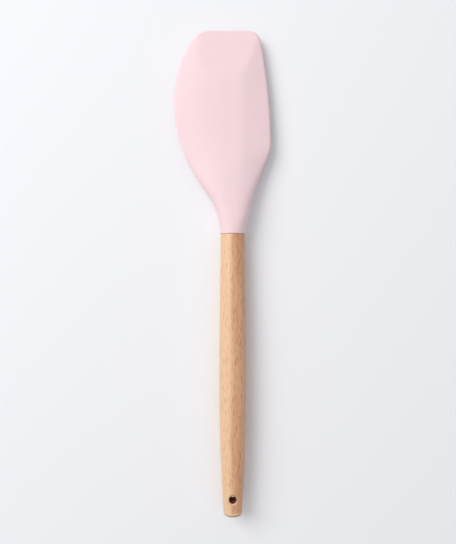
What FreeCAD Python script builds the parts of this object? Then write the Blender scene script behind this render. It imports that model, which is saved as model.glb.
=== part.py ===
import FreeCAD, Part
import Sketcher
import os

# Silicone spatula lying face up: X across the blade, Y along the handle to the tip, Z up. Millimetres.
# The origin is the middle of the hanging hole, on the axis of the handle.

SIZES = {
    # Turned handle, measured down from the seam where the wood enters the silicone
    "handle_length": 182.8,
    "seam_diameter": 15.6,
    "throat_diameter": 16.4,
    "throat_distance": 30.0,
    "swell_diameter": 17.6,
    "swell_distance": 90.0,
    "grip_diameter": 16.8,
    "grip_distance": 130.0,
    "end_diameter": 13.3,
    "butt_diameter": 12.0,
    "butt_round": 2.0,
    # Hanging hole, measured from the butt
    "hole_diameter": 5.0,
    "hole_offset": 11.6,
    "hole_countersink": 0.4,
    # Tenon with one flat, and the gaps round it
    "tenon_shoulder": 2.8,
    "tenon_length": 30.0,
    "tenon_flat": 1.3,
    "tenon_chamfer": 0.8,
    "fit_clearance": 0.05,
    "mouth_clearance": 0.3,
    "seat_clearance": 0.05,
    "end_clearance": 1.0,
    # Nylon core
    "barrel_wall": 1.6,
    "barrel_floor": 2.6,
    "paddle_thickness": 2.6,
    "paddle_spread": 30.0,
    "paddle_round": 9.0,
    "lock_diameter": 6.0,
    "lock_inset": 12.0,
    # Soft silicone left beyond the sides and the end of the core
    "soft_border": 16.2,
    "soft_end": 31.6,
    # Silicone lip that butts against the wood and covers the end of the core
    "lip_proud": 0.75,
    "lip_depth": 2.0,
    # Outline of the silicone head, measured up from the seam
    "head_length": 132.6,
    "belly_offset": 38.2,
    "belly_height": 87.2,
    "left_neck_radius": 47.0,
    "left_neck_drop": 0.4,
    "right_neck_radius": 153.0,
    "flank_angle": 21.3,
    "shoulder_offset": 25.0,
    "shoulder_height": 55.6,
    "shoulder_round": 19.0,
    "edge_radius": 388.0,
    "tip_left_offset": 21.6,
    "tip_right_offset": 16.9,
    "tip_left_round": 12.4,
    "tip_right_round": 8.8,
    "parting_land": 0.2,
    # Thickness of the silicone head
    "neck_cover": 1.2,
    "root_thickness": 11.6,
    "blade_thickness": 9.6,
    "bevel_thickness": 7.2,
    "tip_thickness": 3.4,
    "tip_bevel": 19.0,
    "crest_offset": 4.0,
    "rim_round": 0.8,
    # Length by which every cut runs past the solid
    "overrun": 5.0,
}
LOCK_COUNT = 3
NEAR = 1e-4

# Width of the paddle's foot, as a share of the barrel it grows from
STEM_SHARE = 0.9

# Reach of the head's sections past its outline, as shares of the sizes they follow
COLLAR_STATION_SHARE = 0.15
COLLAR_LEFT_SHARE = 1.055
COLLAR_RIGHT_SHARE = 1.11
NECK_STATION_SHARE = 0.36
NECK_LEFT_SHARE = 1.31
NECK_RIGHT_SHARE = 1.345
ROOT_REACH_SHARE = 0.82
ROOT_CREST_SHARE = 0.4
BLADE_REACH_SHARE = 1.2

SEAM = "(Sizes.handle_length - Sizes.hole_offset)"
LIP_RADIUS = "(Sizes.seam_diameter / 2 + Sizes.lip_proud)"
LIP_HALF = f"({LIP_RADIUS} - Sizes.parting_land)"
TENON_RADIUS = "(Sizes.seam_diameter / 2 - Sizes.tenon_shoulder)"
MOUTH_RADIUS = f"({TENON_RADIUS} + Sizes.mouth_clearance)"
BORE_RADIUS = f"({TENON_RADIUS} + Sizes.fit_clearance)"
BARREL_RADIUS = f"({BORE_RADIUS} + Sizes.barrel_wall)"
BORE_END = "(Sizes.tenon_length + Sizes.end_clearance)"
BARREL_END = f"({BORE_END} + Sizes.barrel_floor)"
PADDLE_END = "(Sizes.head_length - Sizes.soft_end)"
BEVEL_START = "(Sizes.head_length - Sizes.tip_bevel)"

doc = FreeCAD.newDocument("Spatula")
sheet = doc.addObject("Spreadsheet::Sheet", "Sizes")
for row, (alias, value) in enumerate(SIZES.items(), start=1):
    sheet.set(f"A{row}", alias)
    sheet.set(f"B{row}", str(value))
    sheet.setAlias(f"B{row}", alias)
doc.recompute()


def measure(expression):
    """What an expression of the sizes comes to, with its unit where it has one."""
    return sheet.evalExpression(expression.replace("Sizes.", ""))


def worth(expression):
    return float(measure(expression))


def add_body(name):
    body = doc.addObject("PartDesign::Body", name)
    body.Label = name
    return body


def add_sketch(body, name, role, forward="0", lift="0"):
    """A sketch on an origin plane, moved along its own y axis and its own normal."""
    sketch = body.newObject("Sketcher::SketchObject", name)
    plane = next(feature for feature in body.Origin.OriginFeatures if feature.Role == role)
    sketch.AttachmentSupport = [(plane, "")]
    sketch.MapMode = "FlatFace"
    sketch.setExpression("AttachmentOffset.Base.y", forward)
    sketch.setExpression("AttachmentOffset.Base.z", lift)
    return sketch


def cross_sketch(body, name, station):
    """A sketch across the handle's axis, with x to the right and y up, at a distance from the seam."""
    return add_sketch(body, name, "XZ_Plane", lift=f"-({SEAM} + {station})")


def plan_sketch(body, name):
    """A sketch in the plane of the blade, with y measured from the seam to the tip."""
    return add_sketch(body, name, "XY_Plane", forward=SEAM)


def drive(sketch, kind, ends, expression):
    index = sketch.addConstraint(Sketcher.Constraint(kind, *ends, measure(expression)))
    sketch.setExpression(f"Constraints[{index}]", expression)


def right_of(sketch, geometry, point, expression):
    drive(sketch, "DistanceX", (-1, 1, geometry, point), expression)


def left_of(sketch, geometry, point, expression):
    drive(sketch, "DistanceX", (geometry, point, -1, 1), expression)


def above(sketch, geometry, point, expression):
    drive(sketch, "DistanceY", (-1, 1, geometry, point), expression)


def below(sketch, geometry, point, expression):
    drive(sketch, "DistanceY", (geometry, point, -1, 1), expression)


def point(x, y):
    return FreeCAD.Vector(x, y, 0)


def add_circle(sketch, radius):
    index = sketch.addGeometry(Part.Circle(point(0, 0), FreeCAD.Vector(0, 0, 1), worth(radius)))
    sketch.addConstraint(Sketcher.Constraint("Coincident", index, 3, -1, 1))
    drive(sketch, "Radius", (index,), radius)
    return index


def add_loft(body, name, sections):
    loft = body.newObject("PartDesign::AdditiveLoft", name)
    loft.Profile = sections[0]
    loft.Sections = sections[1:]
    return loft


def add_pad(body, name, sketch, length, reverse=False, middle=False):
    pad = body.newObject("PartDesign::Pad", name)
    pad.Profile = sketch
    pad.setExpression("Length", length)
    pad.Reversed = reverse
    pad.Midplane = middle
    return pad


def add_pocket(body, name, sketch, length, reverse=False, middle=False):
    pocket = body.newObject("PartDesign::Pocket", name)
    pocket.Profile = sketch
    pocket.setExpression("Length", length)
    pocket.Reversed = reverse
    pocket.Midplane = middle
    return pocket


def dress(body, kind, name, size_name, expression, chosen):
    """A fillet or chamfer on the edges of the body's tip that the chosen test accepts."""
    doc.recompute()
    base = body.Tip
    edges = [f"Edge{n}" for n, edge in enumerate(base.Shape.Edges, start=1) if chosen(edge)]
    feature = body.newObject(f"PartDesign::{kind}", name)
    feature.Base = (base, edges)
    feature.setExpression(size_name, expression)
    doc.recompute()
    return feature


def at_station(edge, station):
    """Whether an edge lies across the handle's axis, at a distance from the seam."""
    box = edge.BoundBox
    y = worth(f"{SEAM} + {station}")
    return abs(box.YMin - y) < NEAR and abs(box.YMax - y) < NEAR


def add_loop(sketch, curves, smooth=()):
    """Curves in order round a closed loop, joined where they meet; joints numbered in smooth are tangent."""
    numbers = [sketch.addGeometry(curve) for curve in curves]
    free_ends = {number: [1, 2] for number in numbers}
    for joint, (number, following) in enumerate(zip(numbers, numbers[1:] + numbers[:1])):
        pairs = [(p, q) for p in free_ends[number] for q in free_ends[following]]
        p, q = min(pairs, key=lambda pair: gap(sketch, number, pair[0], following, pair[1]))
        free_ends[number].remove(p)
        free_ends[following].remove(q)
        kind = "Tangent" if joint in smooth else "Coincident"
        sketch.addConstraint(Sketcher.Constraint(kind, number, p, following, q))
    return numbers


def gap(sketch, first, first_end, second, second_end):
    return sketch.getPoint(first, first_end).distanceToPoint(sketch.getPoint(second, second_end))


def add_polygon(sketch, corners):
    lines = [Part.LineSegment(a, b) for a, b in zip(corners, corners[1:] + corners[:1])]
    return add_loop(sketch, lines)


def end_near(sketch, number, place):
    """Which end of a curve lies nearer to a place: 1 for its start, 2 for its end."""
    return min((1, 2), key=lambda end: sketch.getPoint(number, end).distanceToPoint(place))


def add_flatted_circle(sketch, radius, flat):
    """A circle with its right side cut off flat, for the tenon and its socket."""
    r = worth(radius)
    reach = worth(f"{radius} - {flat}")
    half = (r ** 2 - reach ** 2) ** 0.5
    arc = Part.Arc(point(reach, half), point(-r, 0), point(reach, -half))
    around, across = add_loop(sketch, [arc, Part.LineSegment(point(reach, -half), point(reach, half))])
    sketch.addConstraint(Sketcher.Constraint("Coincident", around, 3, -1, 1))
    sketch.addConstraint(Sketcher.Constraint("Vertical", across))
    drive(sketch, "Radius", (around,), radius)
    right_of(sketch, across, 1, f"{radius} - {flat}")


def build_handle():
    body = add_body("wooden_handle")
    stations = [
        ("seam", "0"),
        ("throat", "-Sizes.throat_distance"),
        ("swell", "-Sizes.swell_distance"),
        ("grip", "-Sizes.grip_distance"),
        ("end", f"-{SEAM}"),
        ("butt", "-Sizes.handle_length"),
    ]
    sections = []
    for name, station in stations:
        sketch = cross_sketch(body, f"{name}_section", station)
        add_circle(sketch, f"Sizes.{name}_diameter / 2")
        sections.append(sketch)
    add_loft(body, "turned_grip", sections)

    tenon = cross_sketch(body, "tenon_section", "0")
    add_flatted_circle(tenon, TENON_RADIUS, "Sizes.tenon_flat")
    add_pad(body, "tenon", tenon, "Sizes.tenon_length", reverse=True)

    tip = "Sizes.tenon_length"
    dress(body, "Chamfer", "tenon_lead", "Size", "Sizes.tenon_chamfer", lambda e: at_station(e, tip))
    butt = "-Sizes.handle_length"
    dress(body, "Fillet", "rounded_butt", "Radius", "Sizes.butt_round", lambda e: at_station(e, butt))

    # The hole flares at both mouths, so its half section is a cylinder with a cone at each end.
    hole = add_sketch(body, "hole_section", "XZ_Plane")
    radius = "Sizes.hole_diameter / 2"
    wall = f"sqrt((Sizes.end_diameter / 2) ^ 2 - ({radius}) ^ 2) - Sizes.hole_countersink"
    top = "Sizes.end_diameter / 2 + Sizes.overrun"
    mouth = f"{radius} + {top} - ({wall})"
    r, w, t, m = [worth(size) for size in (radius, wall, top, mouth)]
    corners = [point(0, -t), point(m, -t), point(r, -w), point(r, w), point(m, t), point(0, t)]
    floor, lower_cone, bore, upper_cone, roof, spine = add_polygon(hole, corners)
    for line in (floor, roof):
        hole.addConstraint(Sketcher.Constraint("Horizontal", line))
    for end in (1, 2):
        hole.addConstraint(Sketcher.Constraint("PointOnObject", spine, end, -2))
    hole.addConstraint(Sketcher.Constraint("Symmetric", bore, 1, bore, 2, -1))
    hole.addConstraint(Sketcher.Constraint("Symmetric", floor, 2, roof, 1, -1))
    right_of(hole, bore, 2, radius)
    above(hole, bore, 2, wall)
    right_of(hole, roof, 1, mouth)
    above(hole, roof, 1, top)
    drill = body.newObject("PartDesign::Groove", "hanging_hole")
    drill.Profile = hole
    drill.ReferenceAxis = (hole, ["V_Axis"])
    return body


def build_core():
    body = add_body("head_core")
    barrel = cross_sketch(body, "barrel_section", "Sizes.lip_depth")
    add_circle(barrel, BARREL_RADIUS)
    add_pad(body, "barrel", barrel, f"{BARREL_END} - Sizes.lip_depth", reverse=True)

    # The paddle grows out of the barrel's floor and leans to the belly side of the blade.
    root = f"{BARREL_END} - Sizes.barrel_floor / 2"
    full = f"{BARREL_END} + Sizes.paddle_spread"
    left = "Sizes.belly_offset - Sizes.soft_border"
    right = "Sizes.shoulder_offset - Sizes.soft_border"
    stem = f"{BARREL_RADIUS} * {STEM_SHARE}"
    s, x0, x1, y0, y1, y2 = [worth(size) for size in (stem, left, right, root, full, PADDLE_END)]
    plan = plan_sketch(body, "paddle_plan")
    corners = [point(-s, y0), point(s, y0), point(x1, y1), point(x1, y2), point(-x0, y2), point(-x0, y1)]
    foot, right_flare, right_side, far_end, left_side, left_flare = add_polygon(plan, corners)
    plan.addConstraint(Sketcher.Constraint("Symmetric", foot, 1, foot, 2, -2))
    plan.addConstraint(Sketcher.Constraint("Horizontal", far_end))
    for line in (right_side, left_side):
        plan.addConstraint(Sketcher.Constraint("Vertical", line))
    right_of(plan, foot, 2, stem)
    above(plan, foot, 2, root)
    right_of(plan, right_side, 1, right)
    above(plan, right_side, 1, full)
    left_of(plan, left_side, 2, left)
    above(plan, left_side, 2, full)
    above(plan, far_end, 1, PADDLE_END)
    add_pad(body, "paddle", plan, "Sizes.paddle_thickness", middle=True)
    dress(body, "Fillet", "rounded_paddle", "Radius", "Sizes.paddle_round",
          lambda e: is_upright(e) and at_station(e, PADDLE_END))

    bore = cross_sketch(body, "bore_section", "Sizes.lip_depth")
    add_flatted_circle(bore, BORE_RADIUS, "Sizes.tenon_flat")
    add_pocket(body, "socket", bore, f"{BORE_END} - Sizes.lip_depth")

    lock = plan_sketch(body, "lock_section")
    start = f"{BARREL_END} + Sizes.lock_inset"
    circle = lock.addGeometry(round_at(0, worth(start), worth("Sizes.lock_diameter / 2")))
    lock.addConstraint(Sketcher.Constraint("PointOnObject", circle, 3, -2))
    drive(lock, "Radius", (circle,), "Sizes.lock_diameter / 2")
    above(lock, circle, 3, start)
    hole = add_pocket(body, "lock_hole", lock, "Sizes.paddle_thickness + Sizes.overrun", middle=True)
    row = body.newObject("PartDesign::LinearPattern", "lock_holes")
    row.Originals = [hole]
    row.Direction = (lock, ["V_Axis"])
    row.setExpression("Length", f"{PADDLE_END} - Sizes.lock_inset - ({start})")
    row.Occurrences = LOCK_COUNT
    body.Tip = row
    return body


def head_section(body, name, station, rise, left, right, crest=None):
    """A lens-shaped section of four arcs, level at a crest above and below and meeting at each side."""
    sketch = cross_sketch(body, name, station)
    h, a, b = [worth(size) for size in (rise, left, right)]
    c = worth(crest) if crest else 0
    right_side, crown, left_side, keel = point(b, 0), point(c, h), point(-a, 0), point(c, -h)
    right_radius = level_radius(b - c, h)
    left_radius = level_radius(a + c, h)
    middle = point(c, 0)
    arcs = [
        arc_outside(right_side, crown, right_radius, middle),
        arc_outside(crown, left_side, left_radius, middle),
        arc_outside(left_side, keel, left_radius, middle),
        arc_outside(keel, right_side, right_radius, middle),
    ]
    top_right, top_left, low_left, low_right = add_loop(sketch, arcs)
    right_end = end_near(sketch, top_right, right_side)
    left_end = end_near(sketch, top_left, left_side)
    crown_end = end_near(sketch, top_right, crown)
    keel_end = end_near(sketch, low_right, keel)
    for number, top in ((top_right, crown), (top_left, crown), (low_left, keel), (low_right, keel)):
        top_end = end_near(sketch, number, top)
        sketch.addConstraint(Sketcher.Constraint("Vertical", number, 3, number, top_end))
    sketch.addConstraint(Sketcher.Constraint("PointOnObject", top_right, right_end, -1))
    sketch.addConstraint(Sketcher.Constraint("PointOnObject", top_left, left_end, -1))
    right_of(sketch, top_right, right_end, right)
    left_of(sketch, top_left, left_end, left)
    above(sketch, top_right, crown_end, rise)
    if crest:
        right_of(sketch, top_right, crown_end, crest)
    else:
        sketch.addConstraint(Sketcher.Constraint("PointOnObject", top_right, crown_end, -2))
    sketch.addConstraint(Sketcher.Constraint("Symmetric", top_right, crown_end, low_right, keel_end, -1))
    return sketch


def build_outline():
    """The head's outline seen from above, as an upright prism with its corners rounded."""
    body = add_body("head_outline")
    plan = plan_sketch(body, "outline_plan")
    w = worth(LIP_HALF)
    foot = -worth("Sizes.overrun")
    tip = worth("Sizes.head_length")

    # Left side: a hollow neck arc, then a belly arc that touches it, and a flatter one from there to the tip
    left_lip = point(-w, 0)
    neck_r = worth("Sizes.left_neck_radius")
    drop = worth("Sizes.left_neck_drop")
    neck_c = point(-w - leg(neck_r, drop), -drop)
    widest = point(-worth("Sizes.belly_offset"), worth("Sizes.belly_height"))
    across = widest - neck_c
    belly_r = (across.Length ** 2 - neck_r ** 2) / (2 * (neck_r - across.x))
    belly_c = widest + point(belly_r, 0)
    touch = neck_c + (belly_c - neck_c) * (neck_r / (neck_r + belly_r))
    left_tip = point(-worth("Sizes.tip_left_offset"), tip)
    rise = left_tip - widest
    crown_r = rise.Length ** 2 / (2 * rise.x)

    # Right side: a hollow neck arc, a straight flank that touches it, and a long edge that hardly bulges
    right_lip = point(w, 0)
    bend_r = worth("Sizes.right_neck_radius")
    lean = FreeCAD.Rotation(FreeCAD.Vector(0, 0, -1), worth("Sizes.flank_angle"))
    forward = lean.multVec(point(0, 1))
    sideways = lean.multVec(point(bend_r, 0))
    shoulder = point(worth("Sizes.shoulder_offset"), worth("Sizes.shoulder_height"))
    reach = shoulder + sideways - right_lip
    run = reach.dot(forward)
    run -= leg(bend_r, leg(reach.Length, run))
    bend = shoulder - forward * run
    bend_c = bend + sideways
    right_tip = point(worth("Sizes.tip_right_offset"), tip)

    inside = point(0, widest.y)
    curves = [
        Part.LineSegment(point(-w, foot), point(w, foot)),
        Part.LineSegment(point(w, foot), right_lip),
        arc_outside(right_lip, bend, bend_r, bend_c),
        Part.LineSegment(bend, shoulder),
        arc_outside(shoulder, right_tip, worth("Sizes.edge_radius"), inside),
        Part.LineSegment(right_tip, left_tip),
        arc_outside(left_tip, widest, crown_r, inside),
        arc_outside(widest, touch, belly_r, belly_c),
        arc_outside(touch, left_lip, neck_r, neck_c),
        Part.LineSegment(left_lip, point(-w, foot)),
    ]
    numbers = add_loop(plan, curves, smooth=(2, 7))
    base, right_stub, right_neck, flank, edge, end, crown, belly, left_neck, left_stub = numbers
    for line in (base, end):
        plan.addConstraint(Sketcher.Constraint("Horizontal", line))
    for line in (right_stub, left_stub):
        plan.addConstraint(Sketcher.Constraint("Vertical", line))
    for line, lip_end in ((right_stub, 2), (left_stub, 1)):
        plan.addConstraint(Sketcher.Constraint("PointOnObject", line, lip_end, -1))
    right_of(plan, right_stub, 2, LIP_HALF)
    left_of(plan, left_stub, 1, LIP_HALF)
    below(plan, base, 1, "Sizes.overrun")
    drive(plan, "Radius", (left_neck,), "Sizes.left_neck_radius")
    drive(plan, "Radius", (right_neck,), "Sizes.right_neck_radius")
    drive(plan, "Radius", (edge,), "Sizes.edge_radius")
    below(plan, left_neck, 3, "Sizes.left_neck_drop")
    drive(plan, "Angle", (-1, 1, flank, 1), "90 deg - Sizes.flank_angle * 1 deg")
    for arc in (belly, crown):
        above(plan, arc, 3, "Sizes.belly_height")
    widest_end = end_near(plan, belly, widest)
    left_of(plan, belly, widest_end, "Sizes.belly_offset")
    above(plan, belly, widest_end, "Sizes.belly_height")
    right_of(plan, flank, 2, "Sizes.shoulder_offset")
    above(plan, flank, 2, "Sizes.shoulder_height")
    right_of(plan, end, 1, "Sizes.tip_right_offset")
    left_of(plan, end, 2, "Sizes.tip_left_offset")
    above(plan, end, 1, "Sizes.head_length")
    add_pad(body, "outline_block", plan, f"2 * ({LIP_RADIUS} + Sizes.overrun)", middle=True)

    dress(body, "Fillet", "right_tip_corner", "Radius", "Sizes.tip_right_round",
          lambda e: is_upright(e) and at_station(e, "Sizes.head_length") and e.BoundBox.XMin > 0)
    dress(body, "Fillet", "left_tip_corner", "Radius", "Sizes.tip_left_round",
          lambda e: is_upright(e) and at_station(e, "Sizes.head_length") and e.BoundBox.XMin < 0)
    dress(body, "Fillet", "right_shoulder", "Radius", "Sizes.shoulder_round",
          lambda e: is_upright(e) and at_station(e, "Sizes.shoulder_height"))
    return body


def build_head(core):
    body = add_body("head_form")
    collar = f"({BARREL_END} * {COLLAR_STATION_SHARE})"
    neck = f"({BARREL_END} * {NECK_STATION_SHARE})"
    collar_reach = [f"{LIP_RADIUS} * {share}" for share in (COLLAR_LEFT_SHARE, COLLAR_RIGHT_SHARE)]
    neck_reach = [f"{LIP_RADIUS} * {share}" for share in (NECK_LEFT_SHARE, NECK_RIGHT_SHARE)]
    root_reach = [f"Sizes.{side}_offset * {ROOT_REACH_SHARE}" for side in ("belly", "shoulder")]
    blade_reach = [f"Sizes.{side}_offset * {BLADE_REACH_SHARE}" for side in ("belly", "shoulder")]
    root_rise = f"{BARREL_RADIUS} + Sizes.neck_cover"
    root_crest = f"Sizes.crest_offset * {ROOT_CREST_SHARE}"
    shoulder = "Sizes.shoulder_height"
    middle = f"({shoulder} + {BEVEL_START}) / 2"
    crest = "Sizes.crest_offset"
    sections = [
        head_section(body, "lip_form", "Sizes.seat_clearance", LIP_RADIUS, LIP_RADIUS, LIP_RADIUS),
        head_section(body, "collar_form", collar, LIP_RADIUS, *collar_reach),
        head_section(body, "neck_form", neck, LIP_RADIUS, *neck_reach),
        head_section(body, "root_form", BARREL_END, root_rise, *root_reach, root_crest),
        head_section(body, "shoulder_form", shoulder, "Sizes.root_thickness / 2", *blade_reach, crest),
        head_section(body, "blade_form", middle, "Sizes.blade_thickness / 2", *blade_reach, crest),
        head_section(body, "bevel_form", BEVEL_START, "Sizes.bevel_thickness / 2", *blade_reach, crest),
        head_section(body, "tip_form", "Sizes.head_length", "Sizes.tip_thickness / 2", *blade_reach, crest),
    ]
    add_loft(body, "lofted_head", sections)
    doc.recompute()
    trim = body.newObject("PartDesign::Boolean", "trimmed_head")
    trim.Type = "Common"
    trim.setObjects([build_outline()])
    doc.recompute()
    dress(body, "Fillet", "rounded_rim", "Radius", "Sizes.rim_round", lambda e: is_rim(trim.Shape, e))

    # The mouth lets the tenon in; behind it the silicone is cleared out of the core's socket.
    mouth = cross_sketch(body, "mouth_section", "0")
    add_circle(mouth, MOUTH_RADIUS)
    add_pocket(body, "mouth", mouth, "Sizes.lip_depth + Sizes.barrel_wall")
    hollow = cross_sketch(body, "hollow_section", "Sizes.lip_depth")
    add_circle(hollow, f"{BORE_RADIUS} + Sizes.barrel_wall / 2")
    add_pocket(body, "socket_hollow", hollow, f"{BORE_END} + Sizes.barrel_floor / 2 - Sizes.lip_depth")

    head = doc.addObject("Part::Cut", "silicone_head")
    head.Base = body
    head.Tool = core
    return head


def is_rim(shape, edge):
    """Whether an edge lies between the lofted skin and the upright wall of the outline."""
    faces = shape.ancestorsOfType(edge, Part.Face)
    lofted = [face.Surface.TypeId == "Part::GeomBSplineSurface" for face in faces]
    return any(lofted) and not all(lofted) and not at_station(edge, "Sizes.seat_clearance")


def is_upright(edge):
    box = edge.BoundBox
    return box.XLength < NEAR and box.YLength < NEAR


def round_at(x, y, radius):
    return Part.Circle(point(x, y), FreeCAD.Vector(0, 0, 1), radius)


def leg(long_side, side):
    """The third side of a right triangle, from its longest side and another."""
    return (long_side ** 2 - side ** 2) ** 0.5


def level_radius(reach, rise):
    """The radius of an arc that is level at its top and falls by a rise over a reach."""
    return (reach ** 2 + rise ** 2) / (2 * rise)


def arc_outside(start, stop, radius, inside):
    """The shorter arc of a radius between two points, bulging away from a point inside it."""
    chord = stop - start
    middle = (start + stop) * 0.5
    outward = point(-chord.y, chord.x)
    if outward.dot(middle - inside) < 0:
        outward = -outward
    depth = radius - leg(radius, chord.Length / 2)
    return Part.Arc(start, middle + outward * (depth / chord.Length), stop)


handle = build_handle()
core = build_core()
head = build_head(core)
doc.recompute()

for item in doc.Objects:
    if "Invalid" in item.State or "Error" in item.State:
        raise RuntimeError(f"{item.Label} did not rebuild: {item.getStatusString()}")
pieces = (handle, core, head)
for piece in pieces:
    if piece.Shape.isNull() or not piece.Shape.isValid():
        raise RuntimeError(f"{piece.Label} has no valid shape")

os.makedirs("parts", exist_ok=True)
for piece in pieces:
    piece.Shape.exportStep(f"parts/{piece.Label}.step")
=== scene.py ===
import bpy
import math
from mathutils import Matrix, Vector, geometry, kdtree


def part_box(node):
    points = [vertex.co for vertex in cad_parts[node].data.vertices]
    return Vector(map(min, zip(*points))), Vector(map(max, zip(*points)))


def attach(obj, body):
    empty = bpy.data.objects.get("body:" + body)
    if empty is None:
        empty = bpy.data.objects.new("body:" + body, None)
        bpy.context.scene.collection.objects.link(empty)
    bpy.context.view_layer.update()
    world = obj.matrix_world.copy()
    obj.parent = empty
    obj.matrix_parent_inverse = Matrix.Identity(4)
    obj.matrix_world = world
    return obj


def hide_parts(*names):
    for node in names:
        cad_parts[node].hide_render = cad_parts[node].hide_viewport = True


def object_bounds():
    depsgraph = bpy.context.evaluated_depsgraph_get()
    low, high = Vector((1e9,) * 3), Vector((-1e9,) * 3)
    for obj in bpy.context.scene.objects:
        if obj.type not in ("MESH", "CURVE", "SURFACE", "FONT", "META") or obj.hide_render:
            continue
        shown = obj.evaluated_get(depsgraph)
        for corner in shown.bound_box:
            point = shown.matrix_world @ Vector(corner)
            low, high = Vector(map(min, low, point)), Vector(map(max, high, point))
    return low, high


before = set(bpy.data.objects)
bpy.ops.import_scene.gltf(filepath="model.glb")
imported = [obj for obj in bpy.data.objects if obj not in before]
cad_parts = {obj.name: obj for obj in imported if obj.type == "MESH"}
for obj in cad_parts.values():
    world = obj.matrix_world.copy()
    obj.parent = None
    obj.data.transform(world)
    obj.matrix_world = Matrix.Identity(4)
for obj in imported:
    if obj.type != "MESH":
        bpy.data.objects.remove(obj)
cadLow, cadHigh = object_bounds()
mm = 0.001
hair = 0.002 * mm                        # places closer than this count as one
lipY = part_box("silicone_head")[0].y      # where the silicone begins
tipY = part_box("silicone_head")[1].y
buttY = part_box("wooden_handle")[0].y
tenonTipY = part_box("wooden_handle")[1].y
print("frame loaded")


# Shared modelling steps

def deselectAll():
    if bpy.context.object and bpy.context.object.mode != "OBJECT":
        bpy.ops.object.mode_set(mode="OBJECT")
    bpy.ops.object.select_all(action="DESELECT")


def pullRing(steps):
    # carries the selected ring through places along the axis, each with its radius
    y, radius = steps[0]
    for nextY, nextRadius in steps[1:]:
        scale = nextRadius / radius
        bpy.ops.mesh.extrude_region_move(TRANSFORM_OT_translate={"value": (0, nextY - y, 0)})
        bpy.ops.transform.resize(value=(scale, 1, scale), center_override=(0, nextY, 0))
        y, radius = nextY, nextRadius


def turnPiece(name, sides, steps):
    # a turned tube: a circle across the axis, pulled along its profile and left in edit mode
    y, radius = steps[0]
    deselectAll()
    bpy.ops.mesh.primitive_circle_add(vertices=sides, radius=radius, location=(0, y, 0),
                                      rotation=(math.radians(90), 0, 0))
    piece = bpy.context.object
    piece.name = piece.data.name = name
    bpy.ops.object.transform_apply(location=True, rotation=True, scale=True)
    bpy.ops.object.mode_set(mode="EDIT")
    bpy.ops.mesh.select_mode(type="VERT")
    bpy.ops.mesh.select_all(action="SELECT")
    pullRing(steps)
    return piece


def selectWhere(piece, chosen):
    # selects the vertices that the test accepts, and goes back to edit mode
    bpy.ops.mesh.select_all(action="DESELECT")
    bpy.ops.object.mode_set(mode="OBJECT")
    for vertex in piece.data.vertices:
        vertex.select = chosen(vertex.co)
    bpy.ops.object.mode_set(mode="EDIT")


def closeShell(smoothAngle):
    bpy.ops.mesh.select_all(action="SELECT")
    bpy.ops.mesh.remove_doubles(threshold=hair)
    bpy.ops.mesh.fill_holes(sides=0)
    bpy.ops.mesh.normals_make_consistent(inside=False)
    bpy.ops.object.mode_set(mode="OBJECT")
    bpy.ops.object.shade_smooth_by_angle(angle=math.radians(smoothAngle))


def leg(longSide, side):
    # the third side of a right-angled triangle
    return math.sqrt(max(longSide ** 2 - side ** 2, 0))


def ease(start, stop, value):
    share = min(max((value - start) / (stop - start), 0), 1)
    return share * share * (3 - 2 * share)


def quarterRound(radius, count):
    # (inward, along) steps round a quarter circle, from its side to its end
    angles = [math.radians(90) * step / count for step in range(count + 1)]
    return [(radius * (1 - math.cos(angle)), radius * math.sin(angle)) for angle in angles]


# Wooden handle

handleSizes = {
    "sides": 96,
    "seatGap": 0.05 * mm,            # between the wooden shoulder and the lip
    "girth": [                       # distance down from the seam, radius
        (0, 7.8 * mm),
        (30 * mm, 8.2 * mm),
        (90 * mm, 8.8 * mm),
        (130 * mm, 8.4 * mm),
        (171.2 * mm, 6.65 * mm),
        (182.8 * mm, 6.0 * mm),
    ],
    "ringStep": 1.5 * mm,
    "holeStep": 0.4 * mm,            # closer rings round the hanging hole
    "holeZone": 5 * mm,
    "buttRound": 1.6 * mm,
    "buttRoundSteps": 8,
    "buttRings": (0.06, 0.25, 0.45),  # on the end face, as shares of its radius
    "easedEdge": 0.4 * mm,
    "easedEdgeSteps": 4,
    "tenonRadius": 5.0 * mm,
    "tenonFlat": 1.3 * mm,           # depth of the flat that keys it
    "tenonChamfer": 0.8 * mm,
    "tenonRing": 0.1,                # on its end face, as a share of its radius
    "holeRadius": 2.5 * mm,
    "holeFlare": 0.55 * mm,          # depth of the countersinks
    "holeSides": 64,
    "smoothAngle": 35,               # degrees
}
seamY = lipY - handleSizes["seatGap"]


def gripRadius(distance):
    # a smooth curve through the girth's places
    places = handleSizes["girth"]
    slopes = [(b[1] - a[1]) / (b[0] - a[0]) for a, b in zip(places, places[1:])]
    tangents = [slopes[0]]
    for n in range(1, len(slopes)):
        before = places[n][0] - places[n - 1][0]
        after = places[n + 1][0] - places[n][0]
        tangents.append((slopes[n - 1] * after + slopes[n] * before) / (before + after))
    tangents.append(slopes[-1])
    n = max(k for k in range(len(slopes)) if places[k][0] <= distance or k == 0)
    span = places[n + 1][0] - places[n][0]
    t = (distance - places[n][0]) / span
    return ((1 + 2 * t) * (1 - t) ** 2 * places[n][1] + t * (1 - t) ** 2 * span * tangents[n]
            + t * t * (3 - 2 * t) * places[n + 1][1] - t * t * (1 - t) * span * tangents[n + 1])


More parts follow.
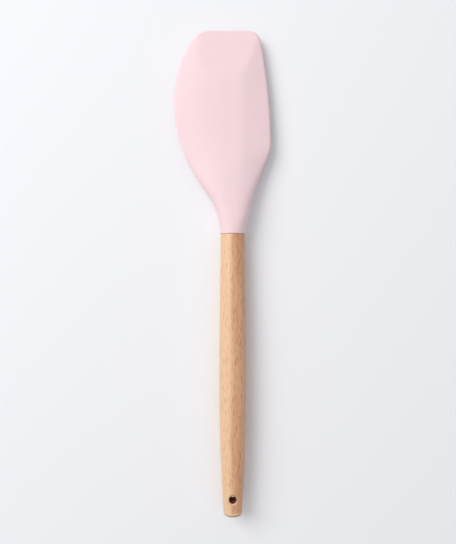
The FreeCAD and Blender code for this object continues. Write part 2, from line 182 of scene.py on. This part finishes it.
def handleProfile():
    # places along the axis from the butt to the end of the tenon, each with its radius
    sizes = handleSizes
    buttRound = sizes["buttRound"]
    easedEdge = sizes["easedEdge"]
    tenon = sizes["tenonRadius"]
    chamfer = sizes["tenonChamfer"]
    butt = gripRadius(seamY - buttY)
    steps = [(buttY, butt * share) for share in sizes["buttRings"]]
    for inward, along in reversed(quarterRound(buttRound, sizes["buttRoundSteps"])):
        y = buttY + buttRound - along
        steps.append((y, gripRadius(seamY - y) - inward))
    y = buttY + buttRound
    while True:
        nearHole = abs(y) < sizes["holeZone"]
        y += sizes["holeStep"] if nearHole else sizes["ringStep"]
        if y > seamY - easedEdge - sizes["ringStep"] / 2:
            break
        steps.append((y, gripRadius(seamY - y)))
    for inward, along in quarterRound(easedEdge, sizes["easedEdgeSteps"]):
        steps.append((seamY - easedEdge + along, gripRadius(0) - inward))
    steps += [(seamY, (gripRadius(0) + tenon) / 2), (seamY, tenon), (tenonTipY - chamfer, tenon)]
    steps += [(tenonTipY, tenon - chamfer), (tenonTipY, tenon * sizes["tenonRing"])]
    return steps


def cutFlat(handle):
    tenon = handleSizes["tenonRadius"]
    slack = handleSizes["seatGap"]
    flatX = tenon - handleSizes["tenonFlat"]
    for vertex in handle.data.vertices:
        pastSeam = vertex.co.y > seamY - slack
        if pastSeam and math.hypot(vertex.co.x, vertex.co.z) < tenon + slack:
            vertex.co.x = min(vertex.co.x, flatX)


def drillHole(handle):
    sizes = handleSizes
    radius = sizes["holeRadius"]
    girth = gripRadius(lipY)         # the hole is at the origin
    wall = leg(girth, radius) - sizes["holeFlare"]
    flare = (radius + girth) / radius
    deselectAll()
    bpy.ops.mesh.primitive_cylinder_add(vertices=sizes["holeSides"], radius=radius, depth=2 * wall)
    drill = bpy.context.object
    for way in (1, -1):
        bpy.ops.object.mode_set(mode="EDIT")
        bpy.ops.mesh.select_mode(type="VERT")
        selectWhere(drill, lambda place: place.z * way > 0)
        bpy.ops.mesh.extrude_region_move(TRANSFORM_OT_translate={"value": (0, 0, way * girth)})
        bpy.ops.transform.resize(value=(flare, flare, 1), center_override=(0, 0, 0))
        bpy.ops.object.mode_set(mode="OBJECT")
    deselectAll()
    bpy.context.view_layer.objects.active = handle
    cut = handle.modifiers.new("hangingHole", "BOOLEAN")
    cut.operation = "DIFFERENCE"
    cut.solver = "EXACT"
    cut.object = drill
    bpy.ops.object.modifier_apply(modifier=cut.name)
    bpy.data.objects.remove(drill)
    handle.select_set(True)
    bpy.ops.object.shade_smooth_by_angle(angle=math.radians(sizes["smoothAngle"]))


def modelHandle():
    handle = turnPiece("wooden_handle_turned", handleSizes["sides"], handleProfile())
    closeShell(handleSizes["smoothAngle"])
    cutFlat(handle)
    drillHole(handle)
    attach(handle, "handle")
    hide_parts("wooden_handle")
    print("handle turned and drilled")
    return handle


# Silicone head

headSizes = {
    "sides": 128,
    "ringStep": 1.5 * mm,
    "cornerRings": 26,               # round the tip's left corner
    "rimStep": 0.3 * mm,             # finer steps, to find the distance in from the outline
    "rimCornerSteps": 90,
    # outline, measured from the seam as seen from above
    "lipHalf": 8.35 * mm,
    "bellyOffset": 38.2 * mm,
    "bellyHeight": 87.2 * mm,
    "leftNeckRadius": 47 * mm,
    "leftNeckDrop": 0.4 * mm,        # of the arc's centre, below the seam
    "rightNeckRadius": 153 * mm,
    "flankAngle": 21.3,              # degrees off the axis
    "shoulderOffset": 25 * mm,
    "shoulderHeight": 55.6 * mm,
    "shoulderRound": 19 * mm,
    "edgeRadius": 388 * mm,
    "tipLeftOffset": 21.6 * mm,
    "tipRightOffset": 16.9 * mm,
    "tipLeftRound": 12.4 * mm,
    "tipRightRound": 8.8 * mm,
    # thickness, to one side of the middle plane, and section
    "bladeHalf": 4.75 * mm,
    "edgeHalf": 1.45 * mm,
    "rimRound": 1.4 * mm,
    "neckEnds": (4 * mm, 70 * mm),   # the neck thins into the blade between these
    "roundEnds": (24 * mm, 60 * mm),  # its round section turns into the blade's between these
    "squareUp": (0, 11 * mm),        # the round section grows fuller between these
    "squareDown": (20 * mm, 46 * mm),  # and slims again
    "fullness": 0.6,
    "creaseOffset": 6 * mm,
    "creaseEnds": (8 * mm, 48 * mm),  # it leaves the middle between these
    "creaseSoft": 0.5 * mm,
    "rightBulge": 0.15,              # how much the right face curves towards its edge
    "leftSpread": 0.72,              # share of the left half that slopes
    "tipSlope": 0.115,               # how fast the tip thickens
    # mouth
    "lipRound": 0.35 * mm,
    "lipSteps": 5,
    "lipTurn": 0.3,                  # where the rounded inner edge passes between face and bore
    "mouthRadius": 5.3 * mm,
    "mouthDepth": 2 * mm,
    "barrelRadius": 6.65 * mm,
    "barrelEnd": 33.6 * mm,
    "smoothAngle": 50,               # degrees
}
tipHeight = tipY - seamY             # the outline's heights are taken from the seam


# An edge of the outline is a list of arcs: the height where each ends, its centre, its radius and
# the side that it bulges to. On a straight stretch the last is 0 and a direction takes the radius's place.

def leftEdge():
    sizes = headSizes
    neckRadius = sizes["leftNeckRadius"]
    neckDrop = sizes["leftNeckDrop"]
    neck = Vector((-sizes["lipHalf"] - leg(neckRadius, neckDrop), -neckDrop))
    widest = Vector((-sizes["bellyOffset"], sizes["bellyHeight"]))
    across = widest - neck
    bellyRadius = (across.length_squared - neckRadius ** 2) / (2 * (neckRadius - across.x))
    belly = widest + Vector((bellyRadius, 0))
    meet = neck + (belly - neck) * (neckRadius / (neckRadius + bellyRadius))
    rise = Vector((-sizes["tipLeftOffset"], tipHeight)) - widest
    crownRadius = rise.length_squared / (2 * rise.x)
    crown = widest + Vector((crownRadius, 0))
    cornerRadius = sizes["tipLeftRound"]
    height = tipHeight - cornerRadius
    corner = Vector((crown.x - leg(crownRadius - cornerRadius, height - crown.y), height))
    turn = crown + (corner - crown) * (crownRadius / (crownRadius - cornerRadius))
    return [
        (meet.y, neck, neckRadius, 1),
        (widest.y, belly, bellyRadius, -1),
        (turn.y, crown, crownRadius, -1),
        (tipHeight, corner, cornerRadius, -1),
    ]


def rightEdge():
    sizes = headSizes
    bendRadius = sizes["rightNeckRadius"]
    angle = math.radians(sizes["flankAngle"])
    forward = Vector((math.sin(angle), math.cos(angle)))
    outward = Vector((math.cos(angle), -math.sin(angle)))
    shoulder = Vector((sizes["shoulderOffset"], sizes["shoulderHeight"]))
    reach = shoulder + outward * bendRadius - Vector((sizes["lipHalf"], 0))
    run = reach.dot(forward)
    run -= leg(bendRadius, leg(reach.length, run))
    bend = shoulder - forward * run
    edgeRadius = sizes["edgeRadius"]
    chord = Vector((sizes["tipRightOffset"], tipHeight)) - shoulder
    inward = Vector((-chord.y, chord.x)).normalized()
    edge = shoulder + chord / 2 + inward * leg(edgeRadius, chord.length / 2)
    roundRadius = sizes["shoulderRound"]
    start = shoulder - outward * roundRadius - edge
    along = start.dot(forward)
    slide = math.sqrt(along ** 2 - start.length_squared + (edgeRadius - roundRadius) ** 2) - along
    rounded = edge + start + forward * slide
    flankEnd = rounded + outward * roundRadius
    edgeStart = edge + (rounded - edge) * (edgeRadius / (edgeRadius - roundRadius))
    cornerRadius = sizes["tipRightRound"]
    height = tipHeight - cornerRadius
    corner = Vector((edge.x + leg(edgeRadius - cornerRadius, height - edge.y), height))
    turn = edge + (corner - edge) * (edgeRadius / (edgeRadius - cornerRadius))
    return [
        (bend.y, bend + outward * bendRadius, bendRadius, -1),
        (flankEnd.y, bend, forward, 0),
        (edgeStart.y, rounded, roundRadius, 1),
        (turn.y, edge, edgeRadius, 1),
        (tipHeight, corner, cornerRadius, 1),
    ]


def edgeAt(arcs, y):
    # how far across an edge of the outline lies at a height
    for top, centre, radius, way in arcs:
        if y <= top:
            break
    if way == 0:
        return centre.x + radius.x * (y - centre.y) / radius.y
    return centre.x + way * leg(radius, y - centre.y)


def outlineHeights(start, step, cornerSteps):
    # even steps up to the tip's left corner, then steps round it
    corner = headSizes["tipLeftRound"]
    straight = tipHeight - corner - start
    count = round(straight / step)
    heights = [start + straight * n / count for n in range(count)]
    for n in range(cornerSteps + 1):
        turn = math.radians(90) * n / cornerSteps
        heights.append(tipHeight - corner * (1 - math.sin(turn)))
    return heights


def makeRimFinder(leftArcs, rightArcs):
    # gives a function for the distance in from the outline
    heights = outlineHeights(0, headSizes["rimStep"], headSizes["rimCornerSteps"])
    left = [Vector((edgeAt(leftArcs, y), y)) for y in heights]
    right = [Vector((edgeAt(rightArcs, y), y)) for y in heights]
    outline = left + right[::-1]
    tree = kdtree.KDTree(len(outline))
    for n, place in enumerate(outline):
        tree.insert(place.to_3d(), n)
    tree.balance()

    def rimDistance(x, y):
        place = Vector((x, y))
        n = tree.find(place.to_3d())[1]
        nearest = (place - outline[n]).length
        for m in (n - 1, n):
            if 0 <= m < len(outline) - 1:
                foot, share = geometry.intersect_point_line(place, outline[m], outline[m + 1])
                if 0 <= share <= 1:
                    nearest = min(nearest, (place - foot.to_2d()).length)
        return nearest

    return rimDistance


def softMin(a, b, soft):
    share = min(max(0.5 + 0.5 * (b - a) / soft, 0), 1)
    return b + (a - b) * share - soft * share * (1 - share)


def bladeHeight(rimDistance, x, y, left, right):
    # half thickness of the head at a place between its two edges
    sizes = headSizes
    crest = sizes["lipHalf"] + (sizes["bladeHalf"] - sizes["lipHalf"]) * ease(*sizes["neckEnds"], y)
    thin = sizes["edgeHalf"]
    soft = sizes["creaseSoft"]
    crease = sizes["creaseOffset"] * ease(*sizes["creaseEnds"], y)
    fromRight = (right - x) / (right - crease)
    rightFace = thin + (crest - thin) * fromRight * (1 + sizes["rightBulge"] * (1 - fromRight))
    fromLeft = min((x - left) / (sizes["leftSpread"] * (crease - left)), 1)
    leftFace = thin + (crest - thin) * (1 - (1 - fromLeft) ** 2)
    tipFace = thin + sizes["tipSlope"] * (tipHeight - y)
    inward = min(rimDistance(x, y) / sizes["rimRound"], 1)
    blade = softMin(softMin(rightFace, leftFace, soft), tipFace, soft) * leg(1, 1 - inward)
    middle = (left + right) / 2
    power = 2 + sizes["fullness"] * ease(*sizes["squareUp"], y) * (1 - ease(*sizes["squareDown"], y))
    across = min(abs(x - middle) / (right - middle), 1)
    neck = crest * (1 - across ** power) ** (1 / power)
    return neck + (blade - neck) * ease(*sizes["roundEnds"], y)


def pressHead(head):
    # presses the tube into the form of the head
    leftArcs = leftEdge()
    rightArcs = rightEdge()
    rimDistance = makeRimFinder(leftArcs, rightArcs)
    for vertex in head.data.vertices:
        y = vertex.co.y - seamY
        left = edgeAt(leftArcs, y)
        right = edgeAt(rightArcs, y)
        middle = (left + right) / 2
        x = middle + (right - middle) * vertex.co.x / headSizes["lipHalf"]
        way = math.copysign(1, vertex.co.z) if abs(vertex.co.z) > hair else 0
        vertex.co.x = x
        vertex.co.z = way * bladeHeight(rimDistance, x, y, left, right)


def mouthProfile(firstY):
    # rounded lip, mouth and the hollow that holds the core's barrel
    sizes = headSizes
    lip = sizes["lipRound"]
    half = sizes["lipHalf"]
    mouth = sizes["mouthRadius"]
    barrel = sizes["barrelRadius"]
    turn = lip * sizes["lipTurn"]
    face = firstY - lip
    depth = seamY + sizes["mouthDepth"]
    steps = [(firstY - along, half - inward) for inward, along in quarterRound(lip, sizes["lipSteps"])]
    steps += [(face, (half + mouth) / 2), (face, mouth + lip), (face + turn, mouth + turn)]
    steps += [(face + lip, mouth), (depth, mouth), (depth, barrel), (seamY + sizes["barrelEnd"], barrel)]
    return steps


def modelHead():
    sizes = headSizes
    start = sizes["lipRound"] + handleSizes["seatGap"]
    heights = outlineHeights(start, sizes["ringStep"], sizes["cornerRings"])
    rings = [(seamY + y, sizes["lipHalf"]) for y in heights]
    head = turnPiece("silicone_head_moulded", sizes["sides"], rings)
    bpy.ops.object.mode_set(mode="OBJECT")
    pressHead(head)
    bpy.ops.object.mode_set(mode="EDIT")
    selectWhere(head, lambda place: place.y < seamY + start + hair)
    pullRing(mouthProfile(seamY + start))
    closeShell(sizes["smoothAngle"])
    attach(head, "head")
    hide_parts("silicone_head")
    print("head moulded")
    return head


# Shared steps for materials

def tone(red, green, blue):
    # a colour as seen on a screen, made linear for the shader
    parts = [part / 255 for part in (red, green, blue)]
    return [part / 12.92 if part <= 0.04045 else ((part + 0.055) / 1.055) ** 2.4 for part in parts] + [1]


def addNode(tree, kind, settings=None, inputs=None):
    node = tree.nodes.new(kind)
    for name, value in (settings or {}).items():
        setattr(node, name, value)
    for name, value in (inputs or {}).items():
        if isinstance(value, bpy.types.NodeSocket):
            tree.links.new(value, node.inputs[name])
        else:
            node.inputs[name].default_value = value
    return node


def mixColour(tree, blend, factor, a, b):
    settings = {"data_type": "RGBA", "blend_type": blend}
    return addNode(tree, "ShaderNodeMix", settings, {0: factor, 6: a, 7: b}).outputs[2]


def mathNode(tree, operation, a, b, clamp=False):
    settings = {"operation": operation, "use_clamp": clamp}
    return addNode(tree, "ShaderNodeMath", settings, {0: a, 1: b}).outputs[0]


def layOver(tree, colour, mask, share, over):
    # lays a colour over another where the mask is, at a share of its strength
    return mixColour(tree, "MIX", mathNode(tree, "MULTIPLY", mask, share), colour, over)


def softStep(tree, value, low, high):
    settings = {"interpolation_type": "SMOOTHSTEP"}
    inputs = {"Value": value, "From Min": low, "From Max": high}
    return addNode(tree, "ShaderNodeMapRange", settings, inputs).outputs["Result"]


def stretched(tree, place, scale, turn=0):
    inputs = {"Vector": place, "Scale": scale, "Rotation": (0, turn, 0)}
    return addNode(tree, "ShaderNodeMapping", None, inputs).outputs["Vector"]


def noise(tree, place, scale, detail, rough):
    inputs = {"Vector": place, "Scale": scale, "Detail": detail, "Roughness": rough}
    return addNode(tree, "ShaderNodeTexNoise", None, inputs).outputs["Fac"]


def cells(tree, place, stretch, scale):
    inputs = {"Vector": stretched(tree, place, stretch), "Scale": scale}
    return addNode(tree, "ShaderNodeTexVoronoi", None, inputs).outputs


def roughAround(tree, value, roughness, spread):
    # a roughness that a value swings to both sides
    swing = mathNode(tree, "MULTIPLY", value, spread)
    return mathNode(tree, "ADD", swing, roughness - spread / 2)


def raiseSkin(tree, shader, height, strength, distance):
    inputs = {"Strength": strength, "Distance": distance, "Height": height}
    bump = addNode(tree, "ShaderNodeBump", None, inputs)
    tree.links.new(bump.outputs["Normal"], shader.inputs["Normal"])


def startMaterial(name):
    material = bpy.data.materials.new(name)
    material.use_nodes = True
    tree = material.node_tree
    place = addNode(tree, "ShaderNodeTexCoord").outputs["Object"]
    return material, tree, tree.nodes["Principled BSDF"], place


def startGroup(name, values, result):
    # a node group that takes a place and some values, and puts out one value
    group = bpy.data.node_groups.new(name, "ShaderNodeTree")
    group.interface.new_socket("Place", in_out="INPUT", socket_type="NodeSocketVector")
    for value in values:
        group.interface.new_socket(value, in_out="INPUT", socket_type="NodeSocketFloat")
    group.interface.new_socket(result, in_out="OUTPUT", socket_type="NodeSocketFloat")
    return group, group.nodes.new("NodeGroupInput").outputs, group.nodes.new("NodeGroupOutput").inputs


groupLook = {
    "cloudDetail": 3.0,
    "cloudRough": 0.55,
    "skinDetail": 2.0,
    "skinRough": 0.6,
}


def makeCloudGroup():
    # broad soft unevenness round a half, for tone and gloss
    group, inlet, outlet = startGroup("softCloud", ("Scale", "Contrast"), "Cloud")
    broad = noise(group, inlet["Place"], inlet["Scale"], groupLook["cloudDetail"], groupLook["cloudRough"])
    centred = mathNode(group, "SUBTRACT", broad, 0.5)
    spread = mathNode(group, "MULTIPLY", centred, inlet["Contrast"])
    group.links.new(mathNode(group, "ADD", spread, 0.5, clamp=True), outlet["Cloud"])
    return group


def makeMouldGroup():
    # the fine dull skin that a blasted mould leaves
    group, inlet, outlet = startGroup("mouldSkin", ("Scale",), "Height")
    grain = noise(group, inlet["Place"], inlet["Scale"], groupLook["skinDetail"], groupLook["skinRough"])
    group.links.new(grain, outlet["Height"])
    return group


softCloud = makeCloudGroup()
mouldSkin = makeMouldGroup()


def cloudOf(tree, place, scale, contrast):
    inputs = {"Place": place, "Scale": scale, "Contrast": contrast}
    return addNode(tree, "ShaderNodeGroup", {"node_tree": softCloud}, inputs).outputs["Cloud"]


def skinOf(tree, place, scale):
    inputs = {"Place": place, "Scale": scale}
    return addNode(tree, "ShaderNodeGroup", {"node_tree": mouldSkin}, inputs).outputs["Height"]


# Beech

beechLook = {
    "pale": tone(225, 174, 133),
    "warm": tone(207, 151, 109),
    "grainStretch": (1, 0.07, 1),    # drawn out along the handle
    "grainTurn": 28,                 # degrees round the handle
    "streakNoise": (420, 4.0, 0.6),  # scale, detail, roughness
    "streakRange": (0.22, 0.78),
    "band": tone(208, 152, 111),
    "rings": {"Scale": 95, "Distortion": 5.0, "Detail": 2.0, "Detail Scale": 0.6, "Detail Roughness": 0.5},
    "bandRange": (0.55, 1.0),
    "bandShare": 0.25,
    "cloudStretch": (1, 0.2, 1),
    "cloud": (60, 1.2),              # scale, contrast
    "cloudShare": 0.3,
    # painted sheen: a paler tone for the side of the handle towards the key light
    "litSideSheen": tone(240, 201, 159),
    "litSideSheenRange": (0.4 * mm, -2.8 * mm),  # across the handle
    "litSideSheenShare": 0.75,
    "fleck": (0.42, 0.22, 0.12, 1),  # what is left of the colour in a pore
    "poreStretch": (1, 0.065, 1),
    "poreScale": 2600,
    "poreEdge": (0.5, 0.15),
    "poreChance": (0.3, 0.9),        # how many cells hold a pore
    "poreFade": 0.3,                 # how much fainter they are under the painted sheen on the lit side
    # pale tone of the ray flecks, also laid on as painted highlight on the countersinks and on the butt's
    # eased edge
    "ray": tone(243, 208, 176),
    "rayStretch": (1, 0.3, 1),
    "rayScale": 1300,
    "rayEdge": (0.3, 0.1),
    "rayShare": 0.35,
    # painted shade colour for the drilled wall of the hole
    "hole": tone(122, 50, 20),
    "flareRange": (1.25, 1.1),       # in radii of the hole
    "paintedFlareHighlight": 0.6,
    "wallRange": (1.03, 1.005),      # in radii of the hole
    "paintedWallShade": 0.9,
    "easedRange": (3.4 * mm, 2.4 * mm),  # above the butt
    "easedEdgeHighlight": 0.5,
    # darker end grain, with painted shade where the butt's end turns away from the light
    "endGrainAndShade": tone(176, 136, 102),
    "endRange": (2.1 * mm, 1.0 * mm),  # above the butt
    "roughness": 0.48,
    "roughSpread": 0.2,
    "bump": (0.2, 0.02 * mm),        # strength, depth
    "specular": 0.5,
    "oil": 0.4,                      # strength of the oiled coat
    "oilRoughness": 0.35,
}


def beechFigure(tree, place, grain, streak):
    # warm and pale streaks, year rings and broad clouds
    look = beechLook
    colour = mixColour(tree, "MIX", softStep(tree, streak, *look["streakRange"]), look["warm"], look["pale"])
    wave = {"wave_type": "BANDS", "bands_direction": "X", "wave_profile": "SIN"}
    rings = addNode(tree, "ShaderNodeTexWave", wave, {"Vector": grain, **look["rings"]})
    bands = softStep(tree, rings.outputs["Fac"], *look["bandRange"])
    colour = layOver(tree, colour, bands, look["bandShare"], look["band"])
    cloud = cloudOf(tree, stretched(tree, place, look["cloudStretch"]), *look["cloud"])
    return mixColour(tree, "SOFT_LIGHT", look["cloudShare"], colour, cloud)


def beechFlecks(tree, place, litSideSheen, colour):
    # short dark pores and paler ray flecks, both drawn out along the grain
    look = beechLook
    poreCells = cells(tree, place, look["poreStretch"], look["poreScale"])
    pores = softStep(tree, poreCells["Distance"], *look["poreEdge"])
    chance = addNode(tree, "ShaderNodeSeparateColor", None, {"Color": poreCells["Color"]}).outputs["Red"]
    pores = mathNode(tree, "MULTIPLY", pores, softStep(tree, chance, *look["poreChance"]))
    # the pores fade under the painted sheen
    fainter = mathNode(tree, "MULTIPLY", litSideSheen, -look["poreFade"])
    pores = mathNode(tree, "MULTIPLY", pores, mathNode(tree, "ADD", fainter, 1.0))
    colour = mixColour(tree, "MULTIPLY", pores, colour, look["fleck"])
    rayCells = cells(tree, place, look["rayStretch"], look["rayScale"])
    rays = softStep(tree, rayCells["Distance"], *look["rayEdge"])
    return layOver(tree, colour, rays, look["rayShare"], look["ray"])


def holeMasks(tree, axes):
    # where the countersinks are, and where the drilled wall is
    across = addNode(tree, "ShaderNodeCombineXYZ", None, {"X": axes["X"], "Y": axes["Y"]}).outputs[0]
    reach = addNode(tree, "ShaderNodeVectorMath", {"operation": "LENGTH"}, {0: across}).outputs["Value"]
    ranges = (beechLook["flareRange"], beechLook["wallRange"])
    radius = handleSizes["holeRadius"]
    return [softStep(tree, reach, radius * far, radius * near) for far, near in ranges]


def makeBeech():
    look = beechLook
    material, tree, shader, place = startMaterial("oiledBeech")
    axes = addNode(tree, "ShaderNodeSeparateXYZ", None, {"Vector": place}).outputs
    grain = stretched(tree, place, look["grainStretch"], math.radians(look["grainTurn"]))
    streak = noise(tree, grain, *look["streakNoise"])
    colour = beechFigure(tree, place, grain, streak)

    # painted sheen: the side of the handle towards the key light is made paler
    litSideSheen = softStep(tree, axes["X"], *look["litSideSheenRange"])
    colour = layOver(tree, colour, litSideSheen, look["litSideSheenShare"], look["litSideSheen"])
    colour = beechFlecks(tree, place, litSideSheen, colour)

    # painted highlight: the countersinks are made pale; painted shade: the drilled wall of the hole is made
    # dark
    flare, inHole = holeMasks(tree, axes)
    colour = layOver(tree, colour, flare, look["paintedFlareHighlight"], look["ray"])
    colour = layOver(tree, colour, inHole, look["paintedWallShade"], look["hole"])

    # the butt: a painted highlight on the eased edge, and darker end grain with painted shade on the end
    above = mathNode(tree, "SUBTRACT", axes["Y"], buttY)
    eased = softStep(tree, above, *look["easedRange"])
    colour = layOver(tree, colour, eased, look["easedEdgeHighlight"], look["ray"])
    colour = mixColour(tree, "MIX", softStep(tree, above, *look["endRange"]), colour, look["endGrainAndShade"])
    tree.links.new(colour, shader.inputs["Base Color"])

    # oiled outside, dry in the hole
    rough = roughAround(tree, streak, look["roughness"], look["roughSpread"])
    tree.links.new(mathNode(tree, "ADD", rough, inHole, clamp=True), shader.inputs["Roughness"])
    outside = mathNode(tree, "SUBTRACT", 1.0, inHole)
    tree.links.new(mathNode(tree, "MULTIPLY", outside, look["oil"]), shader.inputs["Coat Weight"])
    shader.inputs["Coat Roughness"].default_value = look["oilRoughness"]
    shader.inputs["Specular IOR Level"].default_value = look["specular"]
    raiseSkin(tree, shader, streak, *look["bump"])
    return material


# Silicone

siliconeLook = {
    "deep": tone(242, 213, 217),
    "pale": tone(246, 220, 223),
    "cloud": (45, 0.9),              # scale, contrast
    "gloss": (160, 0.5),             # scale, contrast
    "roughness": 0.5,
    "roughSpread": 0.16,
    "skinScale": 2600,
    "bump": (0.12, 0.02 * mm),       # strength, depth
    "specular": 0.4,
    "glow": 0.3,                     # share of light that wanders under the skin
    "glowColour": (1.0, 0.8, 0.75),
    "glowDepth": 0.8 * mm,
}


def makeSilicone():
    look = siliconeLook
    material, tree, shader, place = startMaterial("satinSilicone")
    cloud = cloudOf(tree, place, *look["cloud"])
    tree.links.new(mixColour(tree, "MIX", cloud, look["deep"], look["pale"]), shader.inputs["Base Color"])
    gloss = cloudOf(tree, place, *look["gloss"])
    rough = roughAround(tree, gloss, look["roughness"], look["roughSpread"])
    tree.links.new(rough, shader.inputs["Roughness"])
    raiseSkin(tree, shader, skinOf(tree, place, look["skinScale"]), *look["bump"])
    shader.inputs["Specular IOR Level"].default_value = look["specular"]
    shader.inputs["Subsurface Weight"].default_value = look["glow"]
    shader.inputs["Subsurface Radius"].default_value = look["glowColour"]
    shader.inputs["Subsurface Scale"].default_value = look["glowDepth"]
    return material


# Nylon

nylonLook = {
    "shade": tone(222, 214, 196),
    "pale": tone(232, 226, 210),
    "cloud": (90, 1.2),              # scale, contrast
    "roughness": 0.6,
    "roughSpread": 0.2,
    "skinScale": 1800,
    "bump": (0.3, 0.03 * mm),        # strength, depth
}


def makeNylon():
    look = nylonLook
    material, tree, shader, place = startMaterial("naturalNylon")
    cloud = cloudOf(tree, place, *look["cloud"])
    tree.links.new(mixColour(tree, "MIX", cloud, look["shade"], look["pale"]), shader.inputs["Base Color"])
    skin = skinOf(tree, place, look["skinScale"])
    rough = roughAround(tree, skin, look["roughness"], look["roughSpread"])
    tree.links.new(rough, shader.inputs["Roughness"])
    raiseSkin(tree, shader, skin, *look["bump"])
    return material


# Floor, light and camera

stageLook = {
    "floor": tone(246, 247, 250),
    "floorShade": 0.985,             # how dark the floor's clouds are
    "floorCloud": (8, 0.3),          # scale, contrast
    "floorRoughness": 0.9,
    "floorSpecular": 0.1,
    "floorSize": 6,
    "floorSlope": 0.018,             # the floor falls away towards the butt
    "restOffset": 8 * mm,            # from the lip to where the neck touches the floor
    "worldColour": (1.0, 1.0, 1.02, 1),
    "worldRange": (0.15, 0.74),      # strength at the horizon and overhead
    "backdrop": 0.9,                 # strength seen beyond the floor
    "keyPlace": (-1.03, 0.78, 1.28),  # from the middle of the object
    "keySize": 1.2,
    "keyPower": 21.6,
    "photoPixels": (456, 544),
    "pixelSize": 0.6525 * mm,        # on the level of the handle's axis
    "seamPixel": (232.8, 234.1),
    "cameraHeight": 0.36,
    "viewDepth": 20,
}


def setFloor():
    look = stageLook
    restPlace = (0, lipY + look["restOffset"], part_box("silicone_head")[0].z)
    deselectAll()
    bpy.ops.mesh.primitive_plane_add(size=look["floorSize"], location=restPlace,
                                     rotation=(math.atan(look["floorSlope"]), 0, 0))
    floor = bpy.context.object
    floor.name = "studio_floor"
    material, tree, shader, place = startMaterial("paperFloor")
    cloud = cloudOf(tree, place, *look["floorCloud"])
    pale = look["floor"]
    shade = [part * look["floorShade"] for part in pale[:3]] + [1]
    tree.links.new(mixColour(tree, "MIX", cloud, shade, pale), shader.inputs["Base Color"])
    shader.inputs["Roughness"].default_value = look["floorRoughness"]
    shader.inputs["Specular IOR Level"].default_value = look["floorSpecular"]
    floor.data.materials.append(material)


def setWorld():
    look = stageLook
    world = bpy.data.worlds.new("studio")
    world.use_nodes = True
    tree = world.node_tree
    ray = addNode(tree, "ShaderNodeTexCoord").outputs["Generated"]
    height = addNode(tree, "ShaderNodeSeparateXYZ", None, {"Vector": ray}).outputs["Z"]
    low, high = look["worldRange"]
    light = addNode(tree, "ShaderNodeMapRange", None, {"Value": height, "To Min": low, "To Max": high})
    path = addNode(tree, "ShaderNodeLightPath").outputs
    seen = 0.0
    for kind in ("Is Camera Ray", "Is Glossy Ray", "Is Transmission Ray"):
        seen = mathNode(tree, "ADD", seen, path[kind], clamp=True)
    strengths = {0: seen, 2: light.outputs["Result"], 3: look["backdrop"]}
    strength = addNode(tree, "ShaderNodeMix", {"data_type": "FLOAT"}, strengths).outputs[0]
    sky = tree.nodes["Background"]
    sky.inputs["Color"].default_value = look["worldColour"]
    tree.links.new(strength, sky.inputs["Strength"])
    bpy.context.scene.world = world


def setKeyLight():
    look = stageLook
    middle = (cadLow + cadHigh) / 2
    offset = Vector(look["keyPlace"])
    bpy.ops.object.light_add(type="AREA", location=middle + offset)
    key = bpy.context.object
    key.name = "keyLight"
    key.data.size = look["keySize"]
    key.data.energy = look["keyPower"]
    key.rotation_euler = (-offset).to_track_quat("-Z", "Y").to_euler()


def setCamera():
    # looks straight down, with the seam on its pixel
    look = stageLook
    width, height = look["photoPixels"]
    pixel = look["pixelSize"]
    seamX, seamRow = look["seamPixel"]
    aimX = (width / 2 - seamX) * pixel
    aimY = seamY + (seamRow - height / 2) * pixel
    bpy.ops.object.camera_add(location=(aimX, aimY, look["cameraHeight"]), rotation=(0, 0, 0))
    camera = bpy.context.object
    camera.data.sensor_fit = "VERTICAL"
    camera.data.lens = camera.data.sensor_height * look["cameraHeight"] / (height * pixel)
    camera.data.clip_end = look["viewDepth"]
    bpy.context.scene.camera = camera
    bpy.context.scene.view_settings.view_transform = "Standard"


handle = modelHandle()
head = modelHead()
handle.data.materials.append(makeBeech())
head.data.materials.append(makeSilicone())
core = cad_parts["head_core"]
nylon = makeNylon()
for slot in core.material_slots:
    slot.material = nylon
print("materials made")
setFloor()
setWorld()
setKeyLight()
setCamera()
print("stage set")
